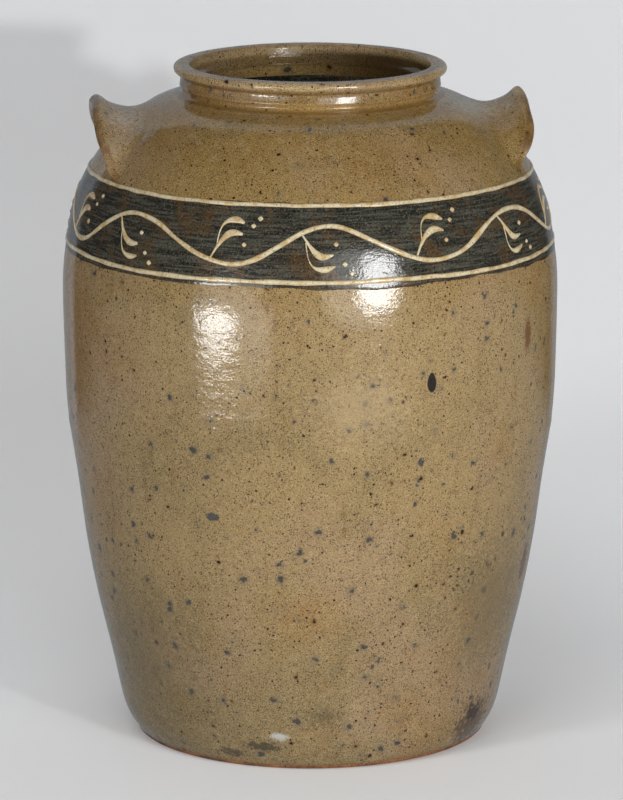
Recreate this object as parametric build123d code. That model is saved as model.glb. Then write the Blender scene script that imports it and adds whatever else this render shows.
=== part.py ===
from build123d import *
import math
import os

# A large wide-mouthed stoneware storage jar with two lug handles on its shoulder.
# Millimetres, +Z up. The origin is the centre of the foot, on the floor, and the handles lie on the X axis.
# The body is thrown in two sections that are luted together, a neck ring is thrown onto the shoulder,
# and two lugs are pressed onto the shoulder. A luted joint is a low ridge in a scored groove, set in slip.

# Heights and radii of the outside
jar_height = 455.0
foot_radius = 119.0
seam_height = 207.0
seam_inset = 4.2
belly_height = 298.0
belly_radius = 166.4
neck_height = 21.0
neck_seat_radius = 90.0
seam_radius = belly_radius - seam_inset
neck_seat_height = jar_height - neck_height

# Walls
floor_thickness = 14.0
foot_wall = 12.5
seam_wall = 10.0
shoulder_wall = 9.0
floor_corner_radius = 22.0

# Foot
foot_rounding = 2.5
foot_ring_width = 24.0
base_hollow = 1.6

# Luted joints
lute_ridge_width = 4.0
lute_ridge_height = 2.5
slip_clearance = 0.25

# Neck ring and rolled rim. The shares are of the neck's height, from its seat up
neck_wall = 13.0
neck_waist_inset = 4.4
neck_ridge_proud = 1.9
neck_band_hollow = 0.4
lip_overhang = 1.4
lip_crease_depth = 2.9
lip_land_inset = 4.2
mouth_flare = 3.6
mouth_rounding = 1.4
throat_step = 2.1
throat_band_height = 9.8
throat_drop = 6.0
neck_waist_share = 0.16
neck_ridge_share = 0.3
neck_band_share = 0.46
lip_undercut_share = 0.6
lip_crease_share = 0.69
throat_radius = neck_seat_radius - neck_wall
mouth_radius = throat_radius + mouth_flare
lip_radius = neck_seat_radius + lip_overhang

# Lug handles, which hang from the level of the neck's seat
handle_span = 114.0
handle_mid_drop = 18.0
handle_end_drop = 37.5
handle_reach = 30.0
handle_thickness = 9.6
handle_flare = 27.0
handle_bury = 6.5
handle_mid_height = neck_seat_height - handle_mid_drop
handle_end_height = neck_seat_height - handle_end_drop

# The outside of the lower section, from foot to seam: shares of the height and of the widening
lower_wall_shares = [
    (0.05, 0.145), (0.12, 0.245), (0.22, 0.346), (0.44, 0.589), (0.66, 0.775), (0.88, 0.912),
]

# The outside from seam to belly: shares of the height and of the widening
belly_shares = [(0.22, 0.52), (0.5, 0.78)]

# The outside from belly to neck seat: shares of the rise and of the drawing in
shoulder_shares = [
    (0.16, 0.008), (0.33, 0.05), (0.478, 0.107), (0.612, 0.207),
    (0.746, 0.368), (0.851, 0.55), (0.953, 0.765),
]

# Where the wall's inside is taken from its outside, as shares of each outline's length
lower_inside_shares = [0.92, 0.75, 0.55, 0.35, 0.2]
upper_inside_shares = [0.06, 0.2, 0.35, 0.5, 0.62, 0.74, 0.86, 0.94]

# A lug's section: shares of the flare and of the thickness uphill from the root, and of the reach
lug_top_shares = [
    (1.0, 0.0, -0.26), (0.5, 0.16, 0.057), (0.2, 0.25, 0.235),
    (0.04, 0.13, 0.483), (0.0, -0.06, 0.727), (0.0, -0.16, 0.94),
]
lug_nose_shares = (0.0, -0.57, 1.0)
lug_under_shares = [(0.0, -1.03, 0.867), (0.0, -1.0, 0.62), (0.0, -0.8, 0.3), (-0.1, -0.75, 0.02)]

# Stations along half a lug: share of the half span, then shares of the reach, of the flare,
# of the root's rise and of the thickness that its free edge leans uphill
left_lug_shares = [
    (0.0, 0.91, 1.0, 1.0, 0.12), (0.25, 0.93, 0.98, 0.95, 0.08), (0.5, 0.85, 0.88, 0.78, 0.0),
    (0.7, 0.62, 0.7, 0.54, -0.05), (0.87, 0.34, 0.5, 0.27, 0.0), (1.0, 0.04, 0.34, 0.0, 0.0),
]
right_lug_shares = [
    (0.0, 0.93, 1.0, 1.0, 0.46), (0.22, 0.91, 0.98, 0.95, 0.38), (0.45, 0.82, 0.88, 0.81, 0.15),
    (0.66, 0.69, 0.7, 0.6, -0.1), (0.83, 0.42, 0.5, 0.35, -0.1), (0.93, 0.02, 0.34, 0.16, 0.0),
]


def place(radius, height):
    """A point of a turned outline."""
    return Vector(radius, 0, height)


def turned(edges):
    """A solid of revolution about the jar's axis."""
    return revolve(Face(Wire(edges)), Axis.Z)


def chain(points):
    """Straight edges from point to point."""
    return [Line(start, end) for start, end in zip(points, points[1:])]


def inward(outline, share, wall):
    """The point on the wall's inside that faces the outline at this share of its length."""
    tangent = outline % share
    return outline @ share + Vector(-tangent.Z, 0, tangent.X) * wall


def blend(start, end, share):
    """The value this share of the way from start to end."""
    return start + (end - start) * share


def lute_ridge(outer, wall, height, clearance):
    """The ridge on the middle of an edge, from its outer side to its inner side, grown by a clearance."""
    middle = outer - wall / 2
    half = lute_ridge_width / 2 + clearance
    crest = height + lute_ridge_height + clearance
    return [place(middle + half, height), place(middle, crest), place(middle - half, height)]


def lower_outline():
    """The outside of the lower section, from the foot's rounding up to the seam."""
    rise = seam_height - foot_rounding
    widening = seam_radius - foot_radius
    middle = [
        place(foot_radius + widening * out, foot_rounding + rise * up) for up, out in lower_wall_shares
    ]
    return Spline([place(foot_radius, foot_rounding)] + middle + [place(seam_radius, seam_height)])


def upper_outline():
    """The outside of the upper section, from the seam over the belly and shoulder to the neck's seat."""
    points = [place(seam_radius, seam_height)]
    for up, out in belly_shares:
        radius = blend(seam_radius, belly_radius, out)
        points.append(place(radius, blend(seam_height, belly_height, up)))
    points.append(place(belly_radius, belly_height))
    for up, drawn in shoulder_shares:
        radius = blend(belly_radius, neck_seat_radius, drawn)
        points.append(place(radius, blend(belly_height, neck_seat_height, up)))
    points.append(place(neck_seat_radius, neck_seat_height))
    return Spline(points)


def lower_section():
    """Floor, foot ring and lower wall, with the ridge of the seam on top."""
    outside = lower_outline()
    ridge = lute_ridge(seam_radius, seam_wall, seam_height, 0)
    inner_edge = place(seam_radius - seam_wall, seam_height)
    rim = chain([outside @ 1] + ridge + [inner_edge])
    wall_points = [inner_edge]
    for share in lower_inside_shares:
        wall_points.append(inward(outside, share, blend(foot_wall, seam_wall, share)))
    foot_inside = inward(outside, 0, foot_wall)
    corner_top = place(foot_inside.X + floor_corner_radius / 4, floor_thickness + floor_corner_radius)
    floor_edge = place(foot_inside.X - floor_corner_radius, floor_thickness)
    wall_points.append(corner_top)
    inside = Spline(wall_points)
    corner = Spline([corner_top, floor_edge], tangents=[inside % 1, (-1, 0, 0)])
    ring_outer = foot_radius - foot_rounding
    ring_inner = ring_outer - foot_ring_width
    under = chain([
        floor_edge,
        place(0, floor_thickness),
        place(0, base_hollow),
        place(ring_inner - foot_ring_width, base_hollow),
        place(ring_inner, 0),
        place(ring_outer, 0),
    ])
    edge_round = TangentArc([place(ring_outer, 0), place(foot_radius, foot_rounding)], tangent=(1, 0, 0))
    return turned([outside] + rim + [inside, corner] + under + [edge_round])


def upper_section():
    """Belly and shoulder, grooved for the seam below and ridged for the neck above."""
    outside = upper_outline()
    groove = lute_ridge(seam_radius, seam_wall, seam_height, slip_clearance)
    inner_edge = place(seam_radius - seam_wall, seam_height)
    ridge = lute_ridge(neck_seat_radius, neck_wall, neck_seat_height, 0)
    throat_top = place(throat_radius, neck_seat_height)
    throat_bottom = place(throat_radius, neck_seat_height - throat_drop)
    wall_points = [inner_edge]
    for share in upper_inside_shares:
        wall_points.append(inward(outside, share, blend(seam_wall, shoulder_wall, share)))
    inside = Spline(wall_points)
    throat = Spline([inside @ 1, throat_bottom], tangents=[inside % 1, (0, 0, 1)])
    seat = chain([throat_bottom, throat_top] + ridge[::-1] + [outside @ 1])
    rim = chain([inner_edge] + groove[::-1] + [outside @ 0])
    return turned([outside, inside, throat] + seat + rim)


def neck_and_rim():
    """The thrown ring: a cove up to a low ridge, a hollow band, and a rolled rim with a flat land."""
    groove = lute_ridge(neck_seat_radius, neck_wall, neck_seat_height, slip_clearance)
    waist_radius = neck_seat_radius - neck_waist_inset
    ridge_radius = waist_radius + neck_ridge_proud
    band_radius = ridge_radius - neck_band_hollow
    crease_height = blend(neck_seat_height, jar_height, lip_crease_share)
    foot_outer = place(neck_seat_radius, neck_seat_height)
    waist = place(waist_radius, blend(neck_seat_height, jar_height, neck_waist_share))
    ridge = place(ridge_radius, blend(neck_seat_height, jar_height, neck_ridge_share))
    band = place(band_radius, blend(neck_seat_height, jar_height, neck_band_share))
    undercut = place(band_radius, blend(neck_seat_height, jar_height, lip_undercut_share))
    crease = place(lip_radius - lip_crease_depth, crease_height)
    lip = place(lip_radius, (crease_height + jar_height) / 2)
    land_outer = place(lip_radius - lip_land_inset, jar_height)
    land_inner = place(mouth_radius + mouth_rounding, jar_height)
    mouth = place(mouth_radius, jar_height - mouth_rounding)
    step_height = jar_height - throat_band_height
    band_foot = place(throat_radius + throat_step, step_height)
    step_foot = place(throat_radius, step_height - throat_step)
    cove = Spline([foot_outer, waist, ridge], tangents=[(-1, 0, 0.35), (0.7, 0, 1)])
    hollow = Spline([ridge, band, undercut, crease], tangents=[(-0.3, 0, 1), (1, 0, 0.8)])
    roll = Spline([crease, lip, land_outer], tangents=[(1, 0, 0.8), (-1, 0, 0)])
    throat_foot = place(throat_radius, neck_seat_height)
    inside = chain([land_outer, land_inner, mouth, band_foot, step_foot, throat_foot])
    seat = chain([throat_foot] + groove[::-1] + [foot_outer])
    return turned([cove, hollow, roll] + inside + seat)


def shoulder_spot(outline, height):
    """The point of the shoulder at a height, with its uphill and outward directions."""
    low, high = 0.0, 1.0
    for _ in range(40):
        middle = (low + high) / 2
        if (outline @ middle).Z < height:
            low = middle
        else:
            high = middle
    uphill = outline % low
    return outline @ low, uphill, Vector(uphill.Z, 0, -uphill.X)


def lug_section(outline, azimuth, reach_share, flare_share, rise_share, lean_share):
    """One closed section of a lug, in the upright plane through the jar's axis at this azimuth."""
    height = blend(handle_end_height, handle_mid_height, rise_share)
    root, uphill, outward = shoulder_spot(outline, height)

    def spot(flare, thick, reach):
        along = handle_flare * flare_share * flare + handle_thickness * (thick + lean_share * reach)
        return root + uphill * along + outward * handle_reach * reach_share * reach

    top = [spot(*shares) for shares in lug_top_shares]
    under = [spot(*shares) for shares in lug_under_shares]
    nose = ThreePointArc(top[-1], spot(*lug_nose_shares), under[0])
    under.append(under[-1] - outward * handle_bury)
    buried = chain([under[-1], top[0] - outward * handle_bury, top[0]])
    return Face(Wire([Spline(top), nose, Spline(under)] + buried)).rotate(Axis.Z, azimuth)


def lug_handle(facing, stations):
    """An arched lug whose ends sweep down, cut to the shoulder that it is pressed onto."""
    outline = upper_outline()
    end_radius = shoulder_spot(outline, handle_end_height)[0].X
    half_angle = math.degrees(math.asin(handle_span / 2 / end_radius))
    both_sides = [(-share, *shares) for share, *shares in stations[:0:-1]] + stations
    sections = [lug_section(outline, facing + half_angle * share, *shares) for share, *shares in both_sides]
    inside = chain([outline @ 1, place(0, neck_seat_height), place(0, seam_height), outline @ 0])
    core = turned([outline] + inside)
    return loft(sections) - core


def main():
    pieces = {
        "lower_section": lower_section(),
        "upper_section": upper_section(),
        "neck_and_rim": neck_and_rim(),
        "left_handle": lug_handle(180, left_lug_shares),
        "right_handle": lug_handle(0, right_lug_shares),
    }
    os.makedirs("parts", exist_ok=True)
    for name, piece in pieces.items():
        export_step(piece, f"parts/{name}.step")


main()
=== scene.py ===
# %% [markdown]
# # A stoneware storage jar in Blender
# This file dresses the solid model of a large thrown jar for its picture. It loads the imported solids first, so
# that everything made here lies in the same place as they do. Lengths are written in millimetres, as a potter
# would measure them, and turned into metres when they reach a mesh.

# %% Load the shared frame
import math
import random

import bmesh
import bpy
import numpy as np
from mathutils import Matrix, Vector, noise


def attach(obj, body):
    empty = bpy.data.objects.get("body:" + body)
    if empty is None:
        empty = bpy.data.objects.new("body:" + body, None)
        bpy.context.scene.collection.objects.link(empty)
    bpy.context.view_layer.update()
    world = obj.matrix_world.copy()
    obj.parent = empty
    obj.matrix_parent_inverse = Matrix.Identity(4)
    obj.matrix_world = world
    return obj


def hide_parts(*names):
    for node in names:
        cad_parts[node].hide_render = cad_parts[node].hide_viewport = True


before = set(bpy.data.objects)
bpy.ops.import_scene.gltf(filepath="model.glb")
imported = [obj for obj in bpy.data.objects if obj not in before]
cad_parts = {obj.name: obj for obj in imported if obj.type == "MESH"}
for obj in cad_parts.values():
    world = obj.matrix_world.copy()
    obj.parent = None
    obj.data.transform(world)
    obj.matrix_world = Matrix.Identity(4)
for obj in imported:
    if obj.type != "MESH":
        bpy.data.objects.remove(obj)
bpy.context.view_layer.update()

MM = 0.001

# %% [markdown]
# ## The outline
# A thrown pot is known by its outline, the line that the potter's rib follows from the foot to the neck. A few
# measured points are enough, because a smooth line runs through them as clay does. A cubic spline is solved
# here instead of using a curve object, because every piece and the painted band need to ask the same line for
# its place and its slope.

# %% A smooth line through measured points
def smooth_line(points, step):
    """Points at an even step on the smoothest line through the given ones, with their lengths along it."""
    knots = np.array(points, float)
    gaps = np.linalg.norm(np.diff(knots, axis=0), axis=1)
    at = np.concatenate([[0], np.cumsum(gaps)])
    system = np.eye(len(knots))
    pull = np.zeros_like(knots)
    for i in range(1, len(knots) - 1):
        system[i, i - 1:i + 2] = gaps[i - 1], 2 * (gaps[i - 1] + gaps[i]), gaps[i]
        pull[i] = 6 * ((knots[i + 1] - knots[i]) / gaps[i] - (knots[i] - knots[i - 1]) / gaps[i - 1])
    bend = np.linalg.solve(system, pull)
    where = np.linspace(0, at[-1], max(2, round(at[-1] / step) + 1))
    piece = np.clip(np.searchsorted(at, where, side="right") - 1, 0, len(gaps) - 1)
    gap = gaps[piece][:, None]
    after = (where - at[piece])[:, None]
    before = gap - after
    return (
        (bend[piece] * before**3 + bend[piece + 1] * after**3) / (6 * gap)
        + (knots[piece] / gap - bend[piece] * gap / 6) * before
        + (knots[piece + 1] / gap - bend[piece + 1] * gap / 6) * after
    )


SEAM_HEIGHT = 207.0
NECK_SEAT = (90.0, 434.0)
WALL = [
    (119.0, 2.5), (125.26, 12.7), (129.6, 27.0), (133.9, 47.5), (144.4, 92.5), (152.5, 137.5), (158.4, 182.5),
    (162.2, SEAM_HEIGHT), (164.4, 227.0), (165.5, 252.5), (166.4, 298.0), (165.8, 319.8), (162.6, 342.9),
    (158.2, 363.0), (150.6, 381.2), (138.3, 399.5), (124.4, 413.7), (107.95, 427.6), NECK_SEAT,
]
wall = smooth_line(WALL, 2.0)
wall_length = np.concatenate([[0], np.cumsum(np.linalg.norm(np.diff(wall, axis=0), axis=1))])
wall_slope = np.gradient(wall, wall_length, axis=0)
print("wall points:", len(wall), "length along the wall in mm:", round(wall_length[-1], 1))

# %% [markdown]
# ## The hand in the clay
# A pot straight from a spin is too true. Real thrown walls are a little out of round, and carry low rings from
# the fingers and soft dents from the rib. The same small push is worked out from a point's place for every
# piece, so pieces that touch move together and no gap opens between them.

# %% How far a point is pushed in or out
TURNED_IN = 0.38
RIDGE_ABOVE_SEAM = 6
RINGS_START = 330
RIM_START = 440
STILL_CORE = 20


def thrown_push(x, y, z):
    """The radial push in mm at a point in mm: never outwards at the belly, where the jar is widest."""
    place = Vector((x, y, z))
    out_of_round = 0.35 * noise.noise(place / 150) - TURNED_IN
    dents = 0.10 * noise.noise(place / 34 + Vector((9, 0, 0))) + 0.035 * noise.noise(place / 13)
    spiral = z + 10 * math.atan2(y, x) / math.tau
    rings = 0.05 * (noise.noise(Vector((spiral / 6.5, 3.1, 0))) + noise.noise(Vector((spiral / 15, 0, 7.7))))
    ring_strength = 0.7 + 1.3 * min(1, max(0, (z - RINGS_START) / 60))
    above_ridge = z - SEAM_HEIGHT - RIDGE_ABOVE_SEAM - dents * 20
    seam_ridge = 0.3 * math.exp(-((above_ridge / 3.5) ** 2))
    return out_of_round + dents + rings * ring_strength + seam_ridge


def rim_dip(x, y, z):
    """How far the top of the rim dips in mm, since no thrown rim is quite level."""
    share = min(1, max(0, (z - RIM_START) / 12))
    return share * (0.28 * noise.noise(Vector((x, y, 0)) / 60) - 0.3)


def in_metres(shape):
    """Turns a bmesh in millimetres into metres."""
    bmesh.ops.scale(shape, vec=(MM, MM, MM), verts=shape.verts)


def push_clay(shape):
    """Moves every vertex of a bmesh in mm as the potter's hand did, then turns it into metres."""
    for vert in shape.verts:
        x, y, z = vert.co
        radius = math.hypot(x, y)
        if radius > STILL_CORE:
            grow = 1 + thrown_push(x, y, z) / radius * min(1, (radius - STILL_CORE) / 30)
            vert.co = Vector((x * grow, y * grow, z + rim_dip(x, y, z)))
    in_metres(shape)


print("push at the belly in mm:", round(thrown_push(166, 0, 298), 3))


# %% [markdown]
# ## From a bmesh to a piece
# Each piece ends the same way: doubles are merged, faces are made to point outwards, edges that are sharper
# than a limit stay crisp while the rest shade smoothly, and the object rides with the jar's one body.

# %% Finish a piece
MERGE_WITHIN = 0.00002


def as_object(name, shape, material):
    """Turns a bmesh into an object with that name and material, and puts it in the scene."""
    mesh = bpy.data.meshes.new(name)
    shape.to_mesh(mesh)
    shape.free()
    mesh.materials.append(material)
    made = bpy.data.objects.new(name, mesh)
    bpy.context.scene.collection.objects.link(made)
    return made


def finish_piece(name, shape, material, replaced=None, crisp=38):
    """Makes the bmesh an object of that name that stands for a CAD node, and prints how many triangles it has.
    """
    bmesh.ops.remove_doubles(shape, verts=shape.verts, dist=MERGE_WITHIN)
    bmesh.ops.recalc_face_normals(shape, faces=shape.faces)
    for face in shape.faces:
        face.smooth = True
    for edge in shape.edges:
        edge.smooth = edge.calc_face_angle(0) < math.radians(crisp)
    piece = as_object(name, shape, material)
    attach(piece, "root")
    if replaced:
        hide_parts(replaced)
    print(name, "triangles:", sum(len(face.vertices) - 2 for face in piece.data.polygons))
    return piece


print("doubles are merged within", MERGE_WITHIN / MM, "mm")

# %% [markdown]
# ## Helpers for nodes
# A finish is a tree of nodes. Small helpers keep that readable: one adds a node with its settings, others
# blend two colours by a mask, do sums or stretch a value from one range to another. A new node goes into the
# tree of the socket that feeds it, so the tree is only named for a node that nothing feeds. Colours are written
# as they are seen on a screen, from 0 to 255, and turned into the linear values that the shader reads.

# %% Colours and nodes
def seen(red, green, blue):
    """A screen colour from 0 to 255 as the linear colour that the nodes read."""
    def linear(value):
        value /= 255
        return value / 12.92 if value <= 0.04045 else ((value + 0.055) / 1.055) ** 2.4
    return (linear(red), linear(green), linear(blue), 1)


def give(socket, value):
    """Links a socket or sets its value."""
    if isinstance(value, bpy.types.NodeSocket):
        socket.id_data.links.new(value, socket)
    else:
        socket.default_value = value


def node(kind, inputs, tree=None, **settings):
    """Adds a shader node beside what feeds it, with these settings and its named or numbered inputs."""
    if tree is None:
        tree = next(value.id_data for value in inputs.values() if isinstance(value, bpy.types.NodeSocket))
    made = tree.nodes.new("ShaderNode" + kind)
    for name, value in settings.items():
        setattr(made, name, value)
    for name, value in inputs.items():
        give(made.inputs[name], value)
    return made


print("a mid tan as linear values:", [round(value, 3) for value in seen(160, 136, 95)])

# %% Blends and sums
def mix(share, first, second):
    """The colour between two colours by a mask."""
    return node("Mix", {0: share, 6: first, 7: second}, data_type="RGBA").outputs[2]


def sums(what, first, second=0.0, third=0.0):
    """One step of arithmetic."""
    return node("Math", {0: first, 1: second, 2: third}, operation=what).outputs[0]


def between(value, low, high, at_low=0.0, at_high=1.0):
    """A value stretched from one range to another, with a soft start and end, and held at both ends."""
    ends = {"Value": value, "From Min": low, "From Max": high, "To Min": at_low, "To Max": at_high}
    return node("MapRange", ends, interpolation_type="SMOOTHSTEP").outputs[0]


def tinted(colour, mask, strength, tone):
    """The colour with a tone laid over it by a mask."""
    return mix(sums("MULTIPLY", mask, strength), colour, seen(*tone))


print("helpers for values:", [helper.__name__ for helper in (mix, sums, between, tinted)])

# %% Places and patterns
def height_of(place):
    """The height of a place."""
    return node("SeparateXYZ", {0: place}).outputs[2]


def vectors(what, first, second=(0, 0, 0)):
    """One step of arithmetic with vectors. A place that is multiplied stretches the pattern that reads it."""
    outputs = node("VectorMath", {0: first, 1: second}, operation=what).outputs
    return outputs["Value" if what in ("LENGTH", "DOT_PRODUCT") else "Vector"]


def millimetres(tree):
    """The place on the jar in mm, which every pattern reads, so that patterns run on over the joints."""
    place = node("TexCoord", {}, tree).outputs["Object"]
    return node("Mapping", {"Vector": place, "Scale": (1 / MM,) * 3}).outputs[0]


def cloud(place, size, detail=2.0, roughness=0.5):
    """Soft noise whose patches are about this many mm wide."""
    inputs = {"Vector": place, "Scale": 1 / size, "Detail": detail, "Roughness": roughness}
    return node("TexNoise", inputs).outputs[0]


print("helpers for places:", [helper.__name__ for helper in (height_of, vectors, millimetres, cloud)])

# %% Node groups
def new_group(name, inputs, outputs):
    """An empty node group with these named inputs (with their starting values) and outputs."""
    group = bpy.data.node_groups.new(name, "ShaderNodeTree")
    for label, start in inputs.items():
        kind = "NodeSocketVector" if isinstance(start, tuple) else "NodeSocketFloat"
        group.interface.new_socket(label, in_out="INPUT", socket_type=kind).default_value = start
    for label, kind in outputs.items():
        group.interface.new_socket(label, in_out="OUTPUT", socket_type="NodeSocket" + kind)
    return group, group.nodes.new("NodeGroupInput").outputs, group.nodes.new("NodeGroupOutput").inputs


def use(group, inputs):
    """Places a node group beside what feeds it, with its own values."""
    return node("Group", inputs, node_tree=group).outputs


print("helpers for groups:", [helper.__name__ for helper in (new_group, use)])

# %% [markdown]
# ## Specks and spots
# Iron in the clay bleeds through the glaze in the fire, as fine pepper and as larger spots. Pepper is noise cut
# at a level. For the spots a Voronoi pattern gives each cell its own centre and its own random numbers, so a
# few of the cells get a spot each, of their own size. Both are node groups, because the glaze and the
# slips under it all need them.

# %% Group: grains
grains, taken, given = new_group(
    "grains",
    {"Place": (0, 0, 0), "Size": 1, "Level": 0.56, "Softness": 0.06},
    {"Mask": "Float"},
)
scale = sums("DIVIDE", 1, taken["Size"])
inputs = {"Vector": taken["Place"], "Scale": scale, "Detail": 2, "Roughness": 0.62}
pepper_noise = node("TexNoise", inputs).outputs[0]
top = sums("ADD", taken["Level"], taken["Softness"])
give(given["Mask"], between(pepper_noise, taken["Level"], top))


def pepper(place, size, level=0.57, softness=0.08):
    """A mask of grains about this many mm wide."""
    return use(grains, {"Place": place, "Size": size, "Level": level, "Softness": softness})["Mask"]


print("group:", grains.name)

# %% Group: spots
spots, taken, given = new_group(
    "spots",
    {"Place": (0, 0, 0), "Spacing": 9, "Size": 1.5, "Share": 0.4, "Softness": 0.35, "Ragged": 1.8},
    {"Mask": "Float", "Halo": "Float"},
)
scale = sums("DIVIDE", 1, taken["Spacing"])
unrest = sums("DIVIDE", 0.7, taken["Size"])
jitter = node("TexNoise", {"Vector": taken["Place"], "Scale": unrest, "Detail": 1}).outputs["Color"]
jitter = vectors("SUBTRACT", jitter, (0.5, 0.5, 0.5))
wander = sums("MULTIPLY", taken["Size"], taken["Ragged"])
jitter = node("VectorMath", {0: jitter, 3: wander}, operation="SCALE").outputs[0]
jitter = vectors("ADD", jitter, taken["Place"])
cells = node("TexVoronoi", {"Vector": jitter, "Scale": scale}, feature="F1")
lots = node("SeparateColor", {0: cells.outputs["Color"]}).outputs
away = sums("MULTIPLY", cells.outputs["Distance"], taken["Spacing"])
radius = sums("MULTIPLY", sums("MULTIPLY_ADD", lots[0], 0.75, 0.25), taken["Size"])
inner = sums("MULTIPLY", radius, sums("SUBTRACT", 1, taken["Softness"]))
chosen = sums("LESS_THAN", lots[1], taken["Share"])
core = sums("MULTIPLY", between(away, inner, radius, 1, 0), chosen)
wide = between(away, inner, sums("MULTIPLY", radius, 2.1), 1, 0)
give(given["Mask"], core)
give(given["Halo"], sums("MULTIPLY", wide, chosen))


def spotted(place, spacing, size, share, softness=0.3, ragged=1.8):
    """Spots in a share of the cells, and the halos round them."""
    inputs = {"Spacing": spacing, "Size": size, "Share": share, "Softness": softness, "Ragged": ragged}
    return use(spots, {"Place": place, **inputs})


print("group:", spots.name)

# %% [markdown]
# ## Marks from the kiln, and painted light and shade
# A flame, a drip or a touching neighbour leaves a single large mark. The same mask also lays patches of painted
# shade, painted sheen and a painted glint on the glaze. Each one is a place and a reach in three directions: the
# distance from the place, counted in reaches and shaken by noise, is the mask.

# %% Group: kiln mark and painted light
kiln_mark_and_painted_light, taken, given = new_group(
    "kiln_mark_and_painted_light",
    {"Place": (0, 0, 0), "Centre": (0, 0, 0), "Reach": (5, 5, 5), "Fade": 0.25},
    {"Mask": "Float"},
)
apart = vectors("SUBTRACT", taken["Place"], taken["Centre"])
apart = vectors("DIVIDE", apart, taken["Reach"])
apart = vectors("LENGTH", apart)
reach = node("SeparateXYZ", {0: taken["Reach"]}).outputs[0]
broken = sums("SUBTRACT", cloud(taken["Place"], 3, 3, 0.65), 0.5)
broken = sums("MULTIPLY", broken, between(reach, 3, 12, 0.5, 2.6))
apart = sums("ADD", apart, broken)
EDGE = 1.05
full = sums("SUBTRACT", EDGE, taken["Fade"])
give(given["Mask"], between(apart, full, EDGE, 1, 0))


def mark_or_painted_light_mask(place, centre, reach, fade):
    """The mask of one kiln mark, or of one patch of painted light and shade, with its centre and reach in mm."""
    return use(kiln_mark_and_painted_light, {"Place": place, "Centre": centre, "Reach": reach, "Fade": fade})["Mask"]


print("group:", kiln_mark_and_painted_light.name)

# %% [markdown]
# ## The skin of the glaze
# Ash glaze melts into a thick glass that keeps a fine orange-peel skin, with pinholes where gas came out. It is
# far too fine to model, so it is a height for a Bump node: broad swells, a finer ripple, the rings that the
# fingers left and tiny pits. Swells and ripple are longer round the jar than up it, as the wheel drew them.

# %% Group: glaze skin
glaze_skin, taken, given = new_group(
    "glaze_skin",
    {"Place": (0, 0, 0), "Swell": 0.16, "Ripple": 0.085, "Rings": 0.02, "Pits": 0.05},
    {"Height": "Float"},
)
level = vectors("MULTIPLY", taken["Place"], (0.75, 0.75, 1))
turned = vectors("MULTIPLY", taken["Place"], (0.03, 0.03, 1))
swell = sums("MULTIPLY", cloud(level, 4.6, 1), taken["Swell"])
fine = sums("MULTIPLY", cloud(level, 1.25, 1), taken["Ripple"])
height = height_of(taken["Place"])
rings = sums("MULTIPLY", taken["Rings"], between(height, 330, 410, 0.5, 3))
swell = sums("MULTIPLY_ADD", cloud(turned, 2.4, 2), rings, swell)
pits = spotted(taken["Place"], 2.6, 0.75, 0.45, 0.95)["Mask"]
dug = sums("MULTIPLY", pits, taken["Pits"])
give(given["Height"], sums("SUBTRACT", sums("ADD", swell, fine), dug))
print("group:", glaze_skin.name)

# %% [markdown]
# ## Bare clay
# The foot is wiped clean of glaze before firing, or it would stick to the kiln shelf. What shows there is
# rough, orange-brown stoneware with darker grit. The glaze meets it in a wavering line, so the same clay is a
# group: the underside uses it whole, and the glaze material blends into it near the foot.

# %% Group: clay body
clay_body, taken, given = new_group(
    "clay_body",
    {"Place": (0, 0, 0)},
    {"Colour": "Color", "Roughness": "Float", "Height": "Float"},
)
patch = cloud(taken["Place"], 14, 3, 0.6)
colour = mix(between(patch, 0.35, 0.68), seen(182, 116, 66), seen(126, 78, 46))
colour = tinted(colour, pepper(taken["Place"], 1.3, 0.55), 0.8, (56, 38, 28))
colour = tinted(colour, pepper(taken["Place"], 0.9, 0.6, 0.06), 0.4, (190, 158, 120))
give(given["Colour"], colour)
give(given["Roughness"], between(patch, 0.3, 0.7, 0.78, 0.95))
rough = sums("MULTIPLY", cloud(taken["Place"], 1.1, 3, 0.7), 0.12)
give(given["Height"], rough)
print("group:", clay_body.name)

# %% [markdown]
# ## The tan ash glaze
# This one finish covers nearly the whole jar. From the large to the small it has: a browner shoulder; a band of
# painted light on the neck's waist, where the rim shades it; painted shade that darkens it towards the foot;
# clouds of straw and olive; faint runs downwards; dense iron pepper and pale grains; crisp iron spots with halos
# and soft blue-grey ones; single marks of the fire, with patches of painted shade and sheen and a painted glint
# among them; dark pools in the hollows; a darker throat, partly a dark liner and partly painted shade; and rust
# where edges pulled the glaze thin. Pools and thin edges come from vertex attributes, because only the shape
# knows where they are. Tables hold what repeats, so a row is all that a new tone needs.

# %% Group: ash glaze, tones by height
ash_glaze, taken, given = new_group(
    "ash_glaze",
    {"Place": (0, 0, 0), "Pool": 0, "Thin": 0},
    {"Colour": "Color", "Roughness": "Float", "Bare": "Float"},
)
place = taken["Place"]
height = height_of(place)
stretched = vectors("MULTIPLY", place, (1, 1, 0.16))
shifted = vectors("ADD", place, (31, 17, 5))
colour = mix(between(height, 300, 400), seen(188, 159, 109), seen(180, 148, 90))
# The bright band from 432.5 to 434.5 mm is painted light on the neck's waist, where the rim above shades it.
for low, high, tone in (
    (400, 412, (176, 142, 82)), (432.5, 434.5, (230, 190, 118)), (439, 442, (162, 132, 84)),
    (447, 450, (220, 190, 140)),
):
    colour = mix(between(height, low, high), colour, seen(*tone))
# Painted shade: the glaze grows darker towards the foot, where less light reaches.
colour = mix(between(height, 10, 170, 0.8, 0), colour, seen(158, 138, 98))
print("nodes for the tones:", len(ash_glaze.nodes))

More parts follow.
